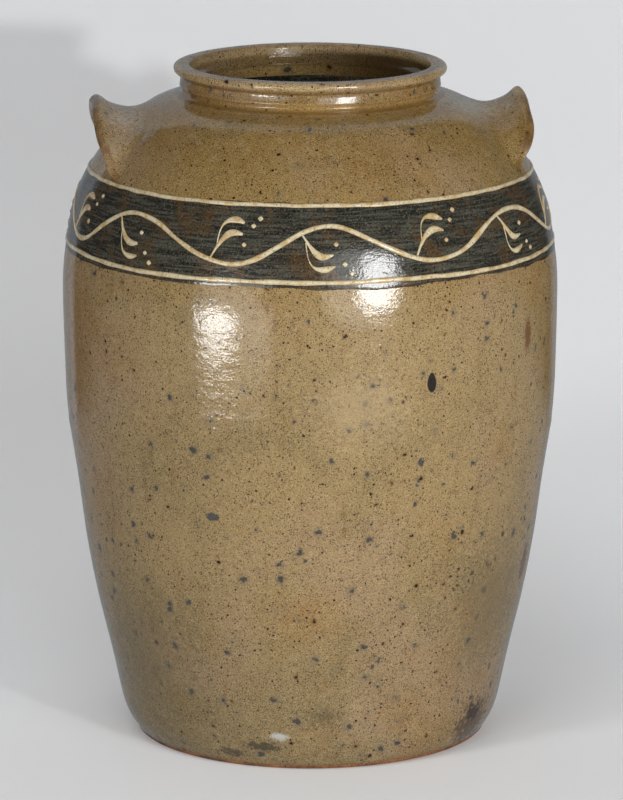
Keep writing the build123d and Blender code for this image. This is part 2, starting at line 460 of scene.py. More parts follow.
# %% Clouds and runs
straw = cloud(place, 9, 3, 0.6)
grit = cloud(place, 0.75, 1)
for patches, low, high, strength, tone in (
    (cloud(place, 60, 3, 0.55), 0.5, 0.68, 0.5, (152, 132, 86)),
    (cloud(place, 95), 0.48, 0.64, 0.5, (192, 160, 126)),
    (cloud(shifted, 75, 3, 0.55), 0.52, 0.72, 0.5, (180, 134, 74)),
    (straw, 0.48, 0.72, 0.4, (206, 178, 126)),
    (cloud(stretched, 8, 2, 0.6), 0.56, 0.74, 0.3, (146, 106, 58)),
    (grit, 0.42, 0.62, 0.42, (100, 76, 44)),
):
    colour = mix(between(patches, low, high, 0, strength), colour, seen(*tone))
print("nodes with the clouds:", len(ash_glaze.nodes))

# %% Pepper and spots
crowd = between(cloud(shifted, 16, 3, 0.6), 0.3, 0.7, 0.45, 1)
fine = pepper(place, 0.8, 0.575, 0.05)
low_down = between(height, 150, 300, 0.6, 0.25)
blue = spotted(shifted, 11.5, 3.1, low_down, 0.45, 2)
iron = spotted(place, 10, 1.7, 0.5)
cluster = mark_or_painted_light_mask(place, (98, -115, 130), (34, 34, 13), 0.9)
for mask, strength, tone in (
    (pepper(shifted, 0.85), 0.5, (222, 202, 160)),
    (sums("MULTIPLY", fine, crowd), 0.75, (70, 48, 24)),
    (spotted(place, 1.35, 0.6, crowd)["Mask"], 0.85, (60, 42, 22)),
    (spotted(shifted, 4.2, 1, 0.8)["Mask"], 0.95, (34, 24, 16)),
    (blue["Halo"], 0.45, (118, 110, 92)),
    (blue["Mask"], between(grit, 0.35, 0.6, 0.95, 0.7), (60, 62, 66)),
    (iron["Halo"], 0.5, (124, 84, 40)),
    (iron["Mask"], 0.95, (30, 21, 14)),
    (spotted(place, 4.6, 2.1, cluster, 0.2)["Mask"], 0.95, (34, 26, 20)),
):
    colour = tinted(colour, mask, strength, tone)
print("nodes with the spots:", len(ash_glaze.nodes))

# %% Single marks of the fire, and patches of painted light and shade
for centre, reach, fade, tone, strength in (
    ((-165, -22, 285), (56, 56, 100), 0.9, (160, 116, 62), 0.5),
    # Painted shade: a darker patch down the right edge, where the key light turns away.
    ((164, -24, 270), (44, 44, 110), 0.9, (150, 112, 66), 0.55),
    ((18, -164, 254), (45, 30, 34), 0.9, (206, 180, 138), 0.45),
    # Painted shade on the lower right, where the key light falls off.
    ((118, -91, 105), (70, 60, 70), 0.9, (130, 112, 82), 0.6),
    # The lower left is partly darker glaze and partly painted shade on the shadowed side.
    ((-112, -70, 70), (80, 60, 90), 0.9, (126, 110, 80), 0.5),
    ((65.8, -152.1, 268.2), (3.4, 3.4, 6.8), 0.2, (30, 28, 28), 0.97),
    ((135.3, -96.2, 286.9), (6, 6, 15), 0.7, (116, 66, 22), 0.8),
    ((139, -55.5, 122), (8, 8, 14), 0.3, (112, 62, 30), 0.85),
    ((103, -74, 18), (26, 22, 22), 0.6, (92, 68, 44), 0.85),
    ((100, -76, 26), (9, 9, 9), 0.5, (58, 40, 26), 0.85),
    ((-76.1, -138.2, 178.7), (5.5, 4, 3.2), 0.3, (78, 80, 80), 0.9),
    ((-42.4, -119.4, 17), (14, 9, 4.5), 0.6, (66, 62, 50), 0.8),
    ((-62, -109, 10), (16, 12, 4), 0.8, (72, 66, 52), 0.75),
    # A painted highlight: a white glint near the foot.
    ((-31.5, -124.6, 24.8), (8, 6, 4), 0.9, (222, 220, 212), 0.85),
    ((-1.8, -132.4, 40.7), (15, 8, 8), 0.9, (98, 88, 64), 0.55),
    # Painted sheen: grey patches on the top of the left lug and of the right shoulder, and a lighter one on the
    # left lug's face.
    ((-126, -12, 420), (26, 34, 9), 0.9, (206, 204, 196), 0.4),
    ((104, -20, 430), (34, 40, 10), 0.9, (208, 206, 196), 0.45),
    ((-133, -40, 405), (12, 22, 14), 0.9, (190, 180, 156), 0.45),
):
    colour = tinted(colour, mark_or_painted_light_mask(place, centre, reach, fade), strength, tone)
print("nodes with the marks:", len(ash_glaze.nodes))

# %% Pools, a throat with painted shade, thin edges and the glaze line
colour = tinted(colour, taken["Pool"], 0.7, (116, 84, 34))
across = node("SeparateXYZ", {0: place}).outputs[0]
level = vectors("MULTIPLY", place, (1, 1, 0))
from_axis = vectors("LENGTH", level)
# The throat inside the mouth is darker: partly a dark liner and partly painted shade, strongest on the right,
# where less light reaches.
throat = between(height, 300, 320)
for share in (
    between(height, 448, 453, 1, 0), between(from_axis, 80, 82.5, 1, 0),
    between(across, -40, 60, 0, 0.9),
):
    throat = sums("MULTIPLY", throat, share)
colour = mix(throat, colour, seen(66, 48, 22))
thin = sums("MULTIPLY", taken["Thin"], between(straw, 0.25, 0.6, 1, 0.35))
give(given["Colour"], tinted(colour, thin, 0.85, (104, 66, 36)))
dull = sums("MULTIPLY_ADD", fine, 0.05, 0.09)
give(given["Roughness"], sums("MULTIPLY_ADD", thin, 0.3, dull))
glaze_line = sums("MULTIPLY_ADD", cloud(place, 3.2, 3, 0.7), 6.5, -2.3)
above_line = sums("SUBTRACT", height, glaze_line)
give(given["Bare"], between(above_line, 0, 0.9, 1, 0))
print("group:", ash_glaze.name)

# %% [markdown]
# ## Four finishes
# Each finish keeps its own Principled shader and its own values. The glazes are glossy because a fired
# glaze is glass, and clay is dull. A value that is the same everywhere is set on the shader itself.

# %% Shader helpers
GLASS_IOR = 1.55


def finish(name, colour, roughness, height, flat=(160, 136, 95)):
    """Wires a colour, a roughness and a height in mm into the shader; flat is its colour in a plain view."""
    shader = finish_tree.nodes["Principled BSDF"]
    give(shader.inputs["Base Color"], colour)
    give(shader.inputs["Roughness"], roughness)
    give(shader.inputs["IOR"], GLASS_IOR)
    raised = node("Bump", {"Height": height, "Strength": 1, "Distance": MM})
    give(shader.inputs["Normal"], raised.outputs[0])
    bpy.data.materials[name].diffuse_color = seen(*flat)
    print("material:", name, "nodes:", len(finish_tree.nodes))


def start_finish(name):
    """A new material with nodes, whose tree the next lines fill."""
    material = bpy.data.materials.new(name)
    material.use_nodes = True
    return material, material.node_tree


def attribute(tree, name):
    """The value that the shape's vertices carry under this name."""
    return node("Attribute", {}, tree, attribute_name=name).outputs["Fac"]


print("every glaze refracts as glass does:", GLASS_IOR)

# %% Glazed stoneware and bare clay
glazed_stoneware, finish_tree = start_finish("glazed_stoneware")
place = millimetres(finish_tree)
layers = {"Pool": attribute(finish_tree, "pool"), "Thin": attribute(finish_tree, "thin")}
glaze = use(ash_glaze, {"Place": place, **layers})
clay = use(clay_body, {"Place": place})
skin = use(glaze_skin, {"Place": place})["Height"]
colour = mix(glaze["Bare"], glaze["Colour"], clay["Colour"])
duller = sums("MAXIMUM", glaze["Roughness"], sums("MULTIPLY", glaze["Bare"], 0.8))
deep = sums("MULTIPLY_ADD", glaze["Bare"], -0.25, skin)
deep = sums("MULTIPLY_ADD", clay["Height"], glaze["Bare"], deep)
finish("glazed_stoneware", colour, duller, deep)

bare_clay, finish_tree = start_finish("bare_clay")
clay = use(clay_body, {"Place": millimetres(finish_tree)})
finish("bare_clay", clay["Colour"], clay["Roughness"], clay["Height"], flat=(138, 92, 56))

# %% Dark slip and pale slip
dark_slip, finish_tree = start_finish("dark_slip")
place = millimetres(finish_tree)
strokes = cloud(vectors("MULTIPLY", place, (0.07, 0.07, 1)), 1.5, 3, 0.6)
colour = mix(between(strokes, 0.42, 0.64), seen(50, 50, 45), seen(92, 90, 78))
worn = between(cloud(place, 17, 3, 0.6), 0.5, 0.68)
for mask, strength, tone in (
    (worn, 0.7, (98, 74, 46)), (attribute(finish_tree, "thin"), 0.8, (92, 64, 36)),
    (pepper(place, 1.1), 0.5, (142, 132, 106)), (pepper(place, 1.6, 0.57, 0.06), 0.7, (26, 24, 22)),
):
    colour = tinted(colour, mask, strength, tone)
skin = use(glaze_skin, {"Place": place})["Height"]
finish("dark_slip", colour, between(strokes, 0.3, 0.7, 0.09, 0.15), skin, flat=(70, 68, 58))

pale_slip, finish_tree = start_finish("pale_slip")
place = millimetres(finish_tree)
stain = cloud(place, 7, 3, 0.6)
colour = mix(between(stain, 0.4, 0.68), seen(246, 232, 194), seen(222, 190, 130))
colour = tinted(colour, attribute(finish_tree, "thin"), 0.6, (168, 120, 62))
colour = tinted(colour, pepper(place, 1.2), 0.6, (122, 94, 56))
skin = use(glaze_skin, {"Place": place})["Height"]
finish("pale_slip", colour, between(stain, 0.3, 0.7, 0.1, 0.18), skin, flat=(218, 200, 156))

# %% [markdown]
# ## Two thrown sections
# A jar this size is too tall to throw in one go, so the foot half and the belly half are thrown apart and luted
# together. A turned wall is what Spin is for: half an outline of vertices and edges goes round the axis for a
# twelfth of a turn, a second spin lays eleven copies of that sector beside it, and doubles are merged, which is
# much quicker than one long spin. The joint faces, with the low ridge that sits in a groove, are there
# too, as on the real pieces, although the finished jar hides them.

# %% Spin an outline
def spun(outline, steps=300, sectors=12):
    """A bmesh of a closed outline of (radius, height) points in mm, turned about the jar's axis."""
    shape = bmesh.new()
    points = [shape.verts.new((radius, 0, height)) for radius, height in outline]
    pairs = list(zip(points, points[1:]))
    if outline[0][0] > 0:
        pairs.append((points[-1], points[0]))
    edges = [shape.edges.new(pair) for pair in pairs]
    about = {"axis": (0, 0, 1), "cent": (0, 0, 0)}
    bmesh.ops.spin(shape, geom=points + edges, angle=math.tau / sectors, steps=steps // sectors, **about)
    sector = shape.verts[:] + shape.edges[:] + shape.faces[:]
    rest = math.tau - math.tau / sectors
    bmesh.ops.spin(shape, geom=sector, angle=rest, steps=sectors - 1, use_duplicate=True, **about)
    bmesh.ops.remove_doubles(shape, verts=shape.verts, dist=0.01)
    return shape


sample = spun([(90.0, 0.0), (88.0, 3.0), (86.0, 0.0)])
print("faces of a ring with three sides:", len(sample.faces))
sample.free()

# %% Inner walls and even steps
def inside_wall(points, slopes, start_wall, end_wall):
    """The inner side of a wall: each outer point moved square to the slope by the wall's thickness."""
    walls = np.linspace(start_wall, end_wall, len(points))[:, None]
    return points + np.column_stack([-slopes[:, 1], slopes[:, 0]]) * walls


def even(points, step):
    """A run of straight lines through the points, cut into short parts so that no face gets long."""
    run = [tuple(points[0])]
    for start, end in zip(points, points[1:]):
        parts = max(1, round(math.dist(start, end) / step))
        run += [tuple(np.array(start) + (np.array(end) - start) * i / parts) for i in range(1, parts + 1)]
    return run


print("a line of 10 mm in steps of about 3:", [round(x, 1) for x, _ in even([(0.0, 0.0), (10.0, 0.0)], 3)])

# %% Glaze and liner
def finish_clay(node_name, shape, crisp=38):
    """A glazed piece that stands for the CAD node of this name, from a bmesh in mm."""
    push_clay(shape)
    return finish_piece("jar_" + node_name, shape, glazed_stoneware, node_name, crisp)


def mark_glaze(shape, thin_at=(), pool_at=()):
    """Marks where glaze is thin or pooled: rings of (radius, height, reach) in mm that fade outwards."""
    for name, rings in (("thin", thin_at), ("pool", pool_at)):
        layer = shape.verts.layers.float.new(name)
        for vert in shape.verts:
            spot = (math.hypot(vert.co.x, vert.co.y), vert.co.z)
            near = [math.exp(-((math.dist(spot, ring[:2]) / ring[2]) ** 2)) for ring in rings]
            vert[layer] = max([0, *near])


UNDERSIDE, FLOOR_EDGE, FLOOR_ABOVE = 0.0021, 0.11, 0.1


# The dark liner stands for a dark slip inside the jar, and it also paints in the deep shade that fills it.
def line_inside(piece):
    """Gives the inner faces the dark liner, and the underside the bare clay."""
    piece.data.materials.append(dark_slip)
    piece.data.materials.append(bare_clay)
    for face in piece.data.polygons:
        x, y, z = face.center
        radius = math.hypot(x, y)
        inward = face.normal.x * x + face.normal.y * y < -0.2 * radius
        if z < UNDERSIDE:
            face.material_index = 2
        elif inward or (radius < FLOOR_EDGE and z < FLOOR_ABOVE):
            face.material_index = 1


print("bare clay below", UNDERSIDE, "m, liner on the floor to a radius of", FLOOR_EDGE, "m")

# %% Walls and joints
seam = int(np.argmin(abs(wall[:, 1] - SEAM_HEIGHT)))
wall[seam] = (162.2, SEAM_HEIGHT)
SEAM_JOINT = [(159.2, SEAM_HEIGHT), (157.2, SEAM_HEIGHT + 2.5), (155.2, SEAM_HEIGHT)]
SEAM_INSIDE = (152.2, SEAM_HEIGHT)
NECK_JOINT = [(85.5, 434.0), (83.5, 436.5), (81.5, 434.0)]
FOOT_WALL, SEAM_WALL, SHOULDER_WALL = 12.4, 10.0, 9.0
print("seam is wall point", seam, "of", len(wall))

# %% The lower section
FLOOR_POINT = 16
going_down = slice(seam, FLOOR_POINT, -4)
lower_inside = inside_wall(wall[going_down], wall_slope[going_down], SEAM_WALL, FOOT_WALL)
lower_inside[0] = SEAM_INSIDE
floor_corner = smooth_line([lower_inside[-1], (112.0, 29.0), (104.5, 20.0), (95.0, 15.4), (84.5, 14.0)], 3.0)
foot_round = [(116.5, 0.0), (117.7, 0.4), (118.6, 1.3)]
under = even([(0.0, 1.6), (68.5, 1.6), (92.5, 0.0), (116.5, 0.0)], 8.0)
floor_top = even([(84.5, 14.0), (0.0, 14.0)], 8.0)
lower_shape = spun(
    [*under[:-1], *foot_round, *wall[:seam + 1], *SEAM_JOINT, *lower_inside, *floor_corner[1:-1], *floor_top]
)
mark_glaze(lower_shape, pool_at=[(118.6, 1.0, 2.6)])
lower_section = finish_clay("lower_section", lower_shape)
line_inside(lower_section)

# %% The upper section
going_up = slice(seam, -3, 3)
upper_inside = inside_wall(wall[going_up], wall_slope[going_up], SEAM_WALL, SHOULDER_WALL)
upper_inside[0] = SEAM_INSIDE
throat = smooth_line([(77.0, 434.0), (77.0, 431.0), (77.6, 428.4), (81.0, 425.4), upper_inside[-1]], 1.5)
upper_shape = spun([*wall[seam:], *NECK_JOINT, *throat, *upper_inside[-2::-1], *SEAM_JOINT[::-1]])
mark_glaze(upper_shape, pool_at=[(89.0, 435.0, 1.2)])
upper_section = finish_clay("upper_section", upper_shape)
line_inside(upper_section)

# %% [markdown]
# ## Neck and rolled rim
# The neck is a ring thrown from a coil on the shoulder: a cove, a low ridge, a hollow band and a rolled lip
# with a flat land for a cover. It is spun like the wall, only finer, because its edges catch the light.

# %% The neck ring
neck_outside = smooth_line(
    [NECK_SEAT, (87.6, 434.9), (85.9, 436.4), (85.7, 438.0), (86.7, 439.4), (87.4, 440.3), (87.35, 441.2),
     (87.1, 443.4), (87.0, 445.6), (87.4, 447.2), (88.6, 448.5), (90.2, 449.5), (91.2, 450.9), (91.4, 452.4),
     (90.8, 453.8), (89.3, 454.7), (87.2, 455.0)],
    0.45,
)
neck_bore = [
    (81.1, 454.6), (80.6, 453.6), (79.3, 445.8), (78.9, 444.8), (77.6, 443.6), (77.0, 442.6), (77.0, 434.0),
]
neck_inside = even([(87.2, 455.0), (82.0, 455.0)], 0.9) + even(neck_bore, 1.2)
neck_shape = spun([*neck_outside[:-1], *neck_inside, *NECK_JOINT[::-1]], 360)
mark_glaze(neck_shape, [(86.0, 455.2, 2.6), (82.4, 455.0, 2.4)], [(88.0, 435.4, 4.2), (87.3, 447.3, 0.9)])
neck_and_rim = finish_clay("neck_and_rim", neck_shape)

# %% [markdown]
# ## Lug handles
# Each handle is a strap of clay pressed onto the shoulder. Its upper side is smeared out into the wall, so
# it has no edge there; its lower side leaves a hollow for the fingers; and both ends sweep down. A grid is
# wrapped into this shape: one direction runs along the lug, the other round its section. Sections at a few
# stations are enough, and the lines between them are smooth.

# %% Where a point of the shoulder is
def along_at(height):
    """The length along the wall at a height."""
    return float(np.interp(height, wall[:, 1], wall_length))


def read_off(values, along):
    """The wall's point, or its slope, at a length along it."""
    return np.array([np.interp(along, wall_length, values[:, i]) for i in (0, 1)])


def wall_spot(along):
    """The wall's point at a length along it, with its uphill and outward directions."""
    spot, uphill = read_off(wall, along), read_off(wall_slope, along)
    uphill /= np.linalg.norm(uphill)
    return spot, uphill, np.array([uphill[1], -uphill[0]])


def wrapped_grid(shape, around, along, surface):
    """Adds a grid and wraps it: surface gives the place of a vertex, from its shares round and along."""
    made = bmesh.ops.create_grid(shape, x_segments=around, y_segments=along, size=1)["verts"]
    for vert in made:
        vert.co = surface(vert, (vert.co.x + 1) / 2, (vert.co.y + 1) / 2)
    return made


spot, uphill, _ = wall_spot(along_at(416))
print("shoulder at 416 mm:", spot.round(1), "uphill:", uphill.round(2))

# %% Measures of the lugs
HANDLE = {"mid": 416.0, "end": 396.5, "reach": 30.0, "thick": 9.6, "flare": 27.0, "span": 114.0}
half_turn = math.asin(HANDLE["span"] / 2 / wall_spot(along_at(HANDLE["end"]))[0][0])
LUG_SECTION = [
    (1.28, 0.0, -0.055), (1.0, 0.0, -0.004), (0.8, 0.02, 0.014), (0.55, 0.1, 0.055), (0.33, 0.2, 0.135),
    (0.17, 0.24, 0.255), (0.05, 0.14, 0.47), (0.0, -0.05, 0.727), (0.0, -0.15, 0.9), (0.0, -0.35, 0.985),
    (0.0, -0.57, 1.0), (0.0, -0.8, 0.985), (0.0, -1.0, 0.9), (0.0, -1.04, 0.78), (0.0, -1.0, 0.55),
    (0.0, -0.82, 0.28), (-0.1, -0.78, 0.08), (-0.25, -0.9, -0.02), (-0.3, -0.9, -0.12), (0.1, 0.0, -0.17),
    (0.8, 0.0, -0.13), (1.28, 0.0, -0.055),
]
LEFT_LUG = [
    (0.0, 0.91, 1.0, 1.0, 0.12), (0.25, 0.93, 1.0, 0.95, 0.08), (0.5, 0.85, 0.97, 0.78, 0.0),
    (0.7, 0.68, 0.93, 0.54, -0.05), (0.87, 0.42, 0.9, 0.27, 0.0), (1.0, 0.1, 0.82, 0.0, 0.0),
    (1.08, 0.0, 0.74, -0.05, 0.0), (1.15, -0.08, 0.68, -0.08, 0.0),
]
RIGHT_LUG = [
    (0.0, 0.93, 1.0, 1.0, 0.46), (0.22, 0.91, 1.0, 0.95, 0.38), (0.45, 0.82, 0.97, 0.81, 0.15),
    (0.66, 0.71, 0.93, 0.6, -0.1), (0.83, 0.46, 0.9, 0.35, -0.1), (0.93, 0.12, 0.82, 0.16, 0.0),
    (1.0, 0.0, 0.74, 0.06, 0.0), (1.06, -0.08, 0.68, 0.0, 0.0),
]
print("each lug spans in degrees:", round(2 * math.degrees(half_turn), 1))

# %% Wrap a lug
def even_rows(rows, count):
    """The given rows of values as that many rows, on smooth lines at an even step."""
    line = smooth_line(rows, 0.002)
    share = np.linspace(0, 1, len(line))
    return [[float(np.interp(at, share, column)) for column in line.T] for at in np.linspace(0, 1, count)]


THIN_FROM, POOL_REACH = 0.92, 3


def lug_shape(facing, stations, around=72, along=96):
    """A lug in mm on the side of the jar that faces this angle, with its thin and pooled glaze marked."""
    mirrored = [(-turn, *rest) for turn, *rest in stations[:0:-1]]
    rows = even_rows(mirrored + stations, along + 1)
    section = even_rows(LUG_SECTION, around + 1)
    shape = bmesh.new()
    thin = shape.verts.layers.float.new("thin")
    pool = shape.verts.layers.float.new("pool")

    def surface(vert, across, share):
        turn, reach, flare, rise, lean = rows[round(share * along)]
        spread, thick, out = section[round(across * around)]
        root = along_at(HANDLE["end"] + (HANDLE["mid"] - HANDLE["end"]) * rise)
        spot, uphill, outward = wall_spot(root + HANDLE["flare"] * flare * spread)
        lift = HANDLE["reach"] * (max(out, 0) * max(reach, 0) + min(out, 0) + min(reach, 0))
        radius, height = spot + uphill * HANDLE["thick"] * (thick + lean * out) + outward * lift
        angle = math.radians(facing) + half_turn * turn
        vert[thin] = min(1, max(0, (out - THIN_FROM) / 0.05)) * min(1, max(0, reach * 3))
        vert[pool] = 0.9 * math.exp(-((lift / POOL_REACH) ** 2)) if thick < -0.5 else 0
        return Vector((radius * math.cos(angle), radius * math.sin(angle), height))

    wrapped_grid(shape, around, along, surface)
    bmesh.ops.remove_doubles(shape, verts=shape.verts, dist=0.01)
    bmesh.ops.holes_fill(shape, edges=[edge for edge in shape.edges if edge.is_boundary])
    return shape


print("reach of the left lug at nine stations:", [round(row[1], 2) for row in even_rows(LEFT_LUG, 9)])

# %% Both lugs
left_shape = lug_shape(180, LEFT_LUG)
left_handle = finish_clay("left_handle", left_shape, 60)
right_shape = lug_shape(0, RIGHT_LUG)
right_handle = finish_clay("right_handle", right_shape, 60)

# %% [markdown]
# ## The brushed band
# Round the shoulder, under the lugs, runs a band of dark slip, put on with a wide brush while the jar turned
# on the wheel. It is a thin skin, so it is a wrapped grid again, lifted a fifth of a millimetre off the wall,
# with its two edges dipped under the surface. Because the edges wander, the line where the skin comes out of
# the wall wanders as a brushed edge does.

# %% A point of the shoulder at a distance along the wall
BAND = (332.0, 387.0)
band_ends = [along_at(height) for height in BAND]


def on_wall(angle, along, lift):
    """The point in mm at an angle and a length along the wall, lifted off it, pushed as the clay is."""
    radius, height = read_off(wall, along)
    slope = read_off(wall_slope, along)
    x, y = radius * math.cos(angle), radius * math.sin(angle)
    radius += thrown_push(x, y, height) + lift * slope[1]
    return Vector((radius * math.cos(angle), radius * math.sin(angle), height - lift * slope[0]))


print("band from", round(band_ends[0], 1), "to", round(band_ends[1], 1), "mm along the wall")

# %% The band
BAND_LIFT, EDGE_DIP = 0.2, 0.3
EDGE_WANDER = ((2.2, 1.6), (1.2, 9), (0.4, 60))


def brushed_edge(angle, side):
    """How far the band's edge wanders in mm, the same at the start and the end of the turn."""
    spot = Vector((math.cos(angle), math.sin(angle), side * 5.0))
    return sum(reach * noise.noise(spot * rate) for reach, rate in EDGE_WANDER)


band_shape = bmesh.new()
band_thin = band_shape.verts.layers.float.new("thin")


def band_surface(vert, across, share):
    """The place of a vertex of the band, which rises from under the wall at both edges."""
    angle = math.tau * share
    low = band_ends[0] + brushed_edge(angle, 0)
    high = band_ends[1] + brushed_edge(angle, 1)
    from_edge = min(across, 1 - across) * (high - low)
    lift = (BAND_LIFT + EDGE_DIP) * min(1, from_edge / 1.6) ** 0.6 - EDGE_DIP
    vert[band_thin] = math.exp(-((from_edge / 2.2) ** 2))
    return on_wall(angle, low + (high - low) * across, lift)


wrapped_grid(band_shape, 30, 720, band_surface)
in_metres(band_shape)
slip_band = finish_piece("slip_band", band_shape, dark_slip, crisp=80)

# %% [markdown]
# ## Trailed lines
# The pale lines are liquid clay squeezed from a small bottle while it moves, so each is a low rounded bead that
# swells where the hand slows and thins where it leaves. A stroke is a grid wrapped round a flat oval along a
# path of places on the wall, and half of the oval is sunk into the skin below. The motif is an old and common
# one: a running vine with a leaf stroke and berries in each bend, between two border lines.

# %% One trailed stroke
trailed = bmesh.new()
trailed_thin = trailed.verts.layers.float.new("thin")
RAISED = 0.7
BEAD_BASE, LOOK_OUT = 0.12, 2.0


def stroke(path, widths, around=10):
    """Wraps a bead along (angle, length along the wall) places, as wide in mm as the widths say."""
    spots = [on_wall(angle, along, BEAD_BASE) for angle, along in path]
    above = [on_wall(angle, along, LOOK_OUT) for angle, along in path]
    outs = [(high - low).normalized() for low, high in zip(spots, above)]
    last = len(spots) - 1
    runs = [spots[min(i + 1, last)] - spots[max(i - 1, 0)] for i in range(last + 1)]
    sides = [run.cross(out).normalized() for run, out in zip(runs, outs)]

    def surface(vert, across, share):
        i = round(share * last)
        turn = math.tau * across
        half = widths[i] / 2
        vert[trailed_thin] = abs(math.cos(turn)) ** 3
        rise = min(RAISED, half * 0.8)
        return spots[i] + sides[i] * half * math.cos(turn) + outs[i] * rise * math.sin(turn)

    made = wrapped_grid(trailed, around, last, surface)
    bmesh.ops.remove_doubles(trailed, verts=made, dist=0.004)


def trail(points, widths, step=1.3):
    """A stroke through a few (mm round the jar, mm along the wall) points, with its widths spread over it."""
    rows = [(x, y, w) for (x, y), w in zip(points, widths)]
    line = smooth_line(rows, step)
    stroke([(x / TURN, y) for x, y, _ in line], [max(0.15, w) for _, _, w in line])


band_middle = (band_ends[0] + band_ends[1]) / 2
TURN = float(read_off(wall, band_middle)[0])
print("mm of band for each radian:", round(TURN, 1))

# %% Border lines and the vine
def on_circle(angle, size, along):
    """A place on a circle, where noise comes round to its own start."""
    return Vector((math.cos(angle) * size, math.sin(angle) * size, along))


for middle, width in ((band_ends[0] + 5.6, 3.1), (band_ends[1] - 2.2, 3.0)):
    ring = []
    for i in range(721):
        angle = math.tau * i / 720
        spot = on_circle(angle, 1, middle)
        ring.append((angle, middle + 0.8 * noise.noise(spot * 2.2) + 0.4 * noise.noise(spot * 11)))
    stroke(ring, [width + 0.9 * noise.noise(on_circle(angle, 14, along)) for angle, along in ring])

BENDS, VINE_REACH, VINE_WIDTH = 14, 13.0, 3.3
vine = []
for i in range(1081):
    angle = math.tau * i / 1080
    spot = on_circle(angle, 1, 3.3)
    height = (VINE_REACH + 1.6 * noise.noise(spot * 3)) * math.sin(BENDS / 2 * angle + noise.noise(spot * 1.5))
    vine.append((angle, band_middle + height + 0.7 * noise.noise(spot * 9)))
stroke(vine, [VINE_WIDTH + 0.9 * noise.noise(on_circle(angle, 12, 1)) for angle, _ in vine])
print("vertices of the lines and the vine:", len(trailed.verts))

# %% Leaves and berries
hand = random.Random(11)
LEAF_SHORT = ((-15.0, -9.4, 1.4), (-8.4, 0.8, 2.8), (-1.2, 7.0, 4.6), (6.8, 6.0, 1.6))
LEAF_LONG = ((-10.8, -2.2, 1.3), (-5.6, 14.6, 2.3), (0.8, 15.6, 4.2), (7.2, 13.6, 1.4))
BERRIES = ((13.6, 12.0), (8.2, -0.6), (17.8, 17.6))


def shaken(value, reach=0.7):
    """A value as an unsteady hand gives it."""
    return value + hand.uniform(-reach, reach)


for bend in range(BENDS):
    side = 1 if bend % 2 else -1
    angle = math.tau * (bend + 0.5) / BENDS
    drift = noise.noise(on_circle(angle, 1, 3.3) * 1.5) / (BENDS / 2)
    x = shaken(TURN * (angle - drift), 1.2)
    for leaf in (LEAF_SHORT, LEAF_LONG):
        stem = [(shaken(x + dx), shaken(band_middle + side * dy)) for dx, dy, _ in leaf]
        trail(stem, [shaken(width, 0.3) for _, _, width in leaf])
    for dx, dy in BERRIES:
        size = shaken(3.4, 0.5)
        y = shaken(band_middle + side * dy)
        trail([(x + dx - size / 2, y), (x + dx, y), (x + dx + size / 2, y)], (0.3, size, 0.3), 0.35)

in_metres(trailed)
trailed_slip = finish_piece("trailed_slip", trailed, pale_slip, crisp=80)

# %% [markdown]
# ## Floor and backdrop
# A studio sweep is one sheet of paper: it lies flat under the jar, curves up close behind it and has no corner
# line. One edge is drawn across it and extruded along its side view. The sheet is wide for the camera, but
# only its middle is mirrored in the glaze, as a real roll with a dark studio beside it would be, and that gives
# both sides of the jar a narrow grey edge. That edge is a painted reflection: in the gloss alone the paper
# glows, the floor all over and the curve and wall in a strip that is brighter on the left and higher up, with a
# cool tint. From behind the sheet is clear, so that the jar's back can be seen, and a second flat sheet carries
# the floor on beyond the curve.

# %% The sweep
YAW = math.radians(5)
STRIP_LEFT, STRIP_RIGHT = -1.19, 0.86
PAPER_GLOW = 0.14
FLOOR_GLOW = 0.24
MIRRORED_COLOUR = seen(34, 34, 34)
sweep_material, finish_tree = start_finish("sweep_paper")
place = millimetres(finish_tree)
paper = mix(cloud(place, 900), seen(226, 227, 229), seen(231, 232, 234))
tooth = sums("MULTIPLY", cloud(place, 1.5), 0.02)
finish("sweep_paper", paper, 0.75, tooth, flat=(228, 228, 226))
rays = node("LightPath", {}, finish_tree).outputs
shader = finish_tree.nodes["Principled BSDF"]
give(shader.inputs["Base Color"], mix(rays["Is Glossy Ray"], paper, MIRRORED_COLOUR))


def along_floor(x, y):
    """The distance in mm from the jar's axis in a level direction."""
    return vectors("DOT_PRODUCT", place, (x, y, 0))


aside = along_floor(math.cos(YAW), -math.sin(YAW))
back = sums("MAXIMUM", along_floor(math.sin(YAW), math.cos(YAW)), 200)
risen = height_of(place)
turned = sums("DIVIDE", aside, back)
# Painted reflection: the glow that follows is seen only by glossy rays.
left_side = between(turned, STRIP_LEFT - 0.04, STRIP_LEFT + 0.04)
right_side = between(turned, STRIP_RIGHT - 0.12, STRIP_RIGHT + 0.12, 1, 0)
strip = sums("MULTIPLY", left_side, right_side)
brighter_left = between(turned, -1.1, -0.9, 0.47, 0.27)
bright = sums("ADD", brighter_left, between(risen, 400, 1000, 0, 0.2))
strip = sums("MULTIPLY", strip, bright)
on_wall_side = between(risen, 60, 115)
mirrored = node("Mix", {0: on_wall_side, 2: FLOOR_GLOW, 3: strip}).outputs[0]
mirrored = sums("MULTIPLY", mirrored, rays["Is Glossy Ray"])
cool = mix(rays["Is Glossy Ray"], (1, 1, 1, 1), (0.88, 0.98, 1.08, 1))
give(shader.inputs["Emission Color"], cool)
glow = sums("MULTIPLY_ADD", rays["Is Camera Ray"], PAPER_GLOW, mirrored)
give(shader.inputs["Emission Strength"], glow)
clear = node("BsdfTransparent", {}, finish_tree).outputs[0]
behind = node("NewGeometry", {}, finish_tree).outputs["Backfacing"]
both = node("MixShader", {0: behind, 1: shader.outputs[0], 2: clear}).outputs[0]
give(finish_tree.nodes["Material Output"].inputs["Surface"], both)

# %% Two sheets
FRONT, CURVE_START, CURVE_RADIUS, TOP, FAR = -4.5, 0.17, 0.32, 3.2, 4.5
HALF_WIDTH = 4.0


